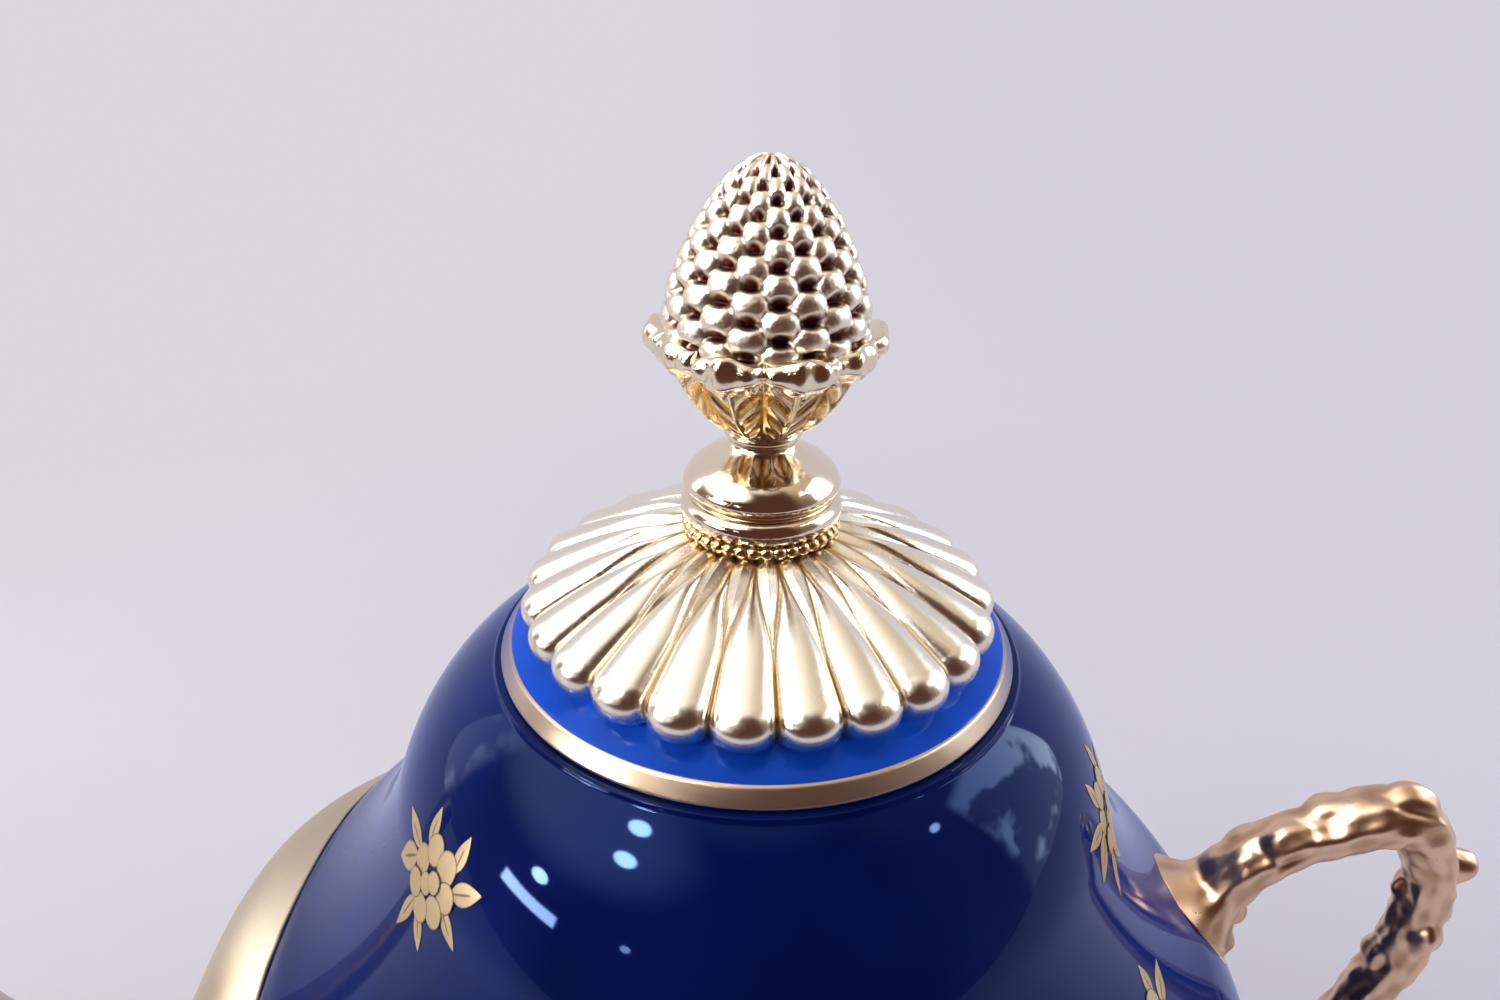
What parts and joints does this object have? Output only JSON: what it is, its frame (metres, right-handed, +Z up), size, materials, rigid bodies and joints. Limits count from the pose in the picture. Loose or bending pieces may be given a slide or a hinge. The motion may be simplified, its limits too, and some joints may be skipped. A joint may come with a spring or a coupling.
{
  "type": "teapot",
  "caption": "Waisted cobalt porcelain teapot with a gilt cast spout, a gilt branch handle, and a lift-off lid with a petalled gilt rosette under a pine-cone finial.",
  "frame": {"origin": "on the table under the middle of the whole object's bounding box; the pot's own axis stands to the handle's side of it", "axes": "+X from the spout to the handle, +Z up, -Y towards the picture's camera"},
  "size_m": [0.264, 0.1496, 0.191],
  "materials": {
    "cobalt_porcelain": "clear gloss glaze over deep cobalt blue, with gilt sprigs and a gilt edge band on the lid",
    "gilt_metal": "polished champagne-gold plating on cast metal",
    "soft_seal": "dark soft rubber",
    "steel_fastener": "plain stainless steel"
  },
  "bodies": {
    "pot": {"pot_body": "cobalt_porcelain", "spout": "gilt_metal", "spout_gasket": "soft_seal", "spout_screws": "steel_fastener", "spout_washers": "steel_fastener", "spout_seals": "soft_seal", "handle": "gilt_metal", "handle_gaskets": "soft_seal", "handle_screws": "steel_fastener", "handle_washers": "steel_fastener", "handle_seals": "soft_seal"},
    "lid": {"lid_shell": "cobalt_porcelain", "rosette": "gilt_metal", "beaded_ring": "gilt_metal", "collar": "gilt_metal", "leaf_cup": "gilt_metal", "pine_cone": "gilt_metal", "finial_stud": "steel_fastener", "lid_seal": "soft_seal", "lid_washer": "steel_fastener", "lid_nut": "steel_fastener"}
  },
  "joints": [
    {"name": "lid_lift", "type": "slide", "parent": "pot", "child": "lid", "axis": [0, 0, 1], "range_m": [0, 0.06]}
  ]
}
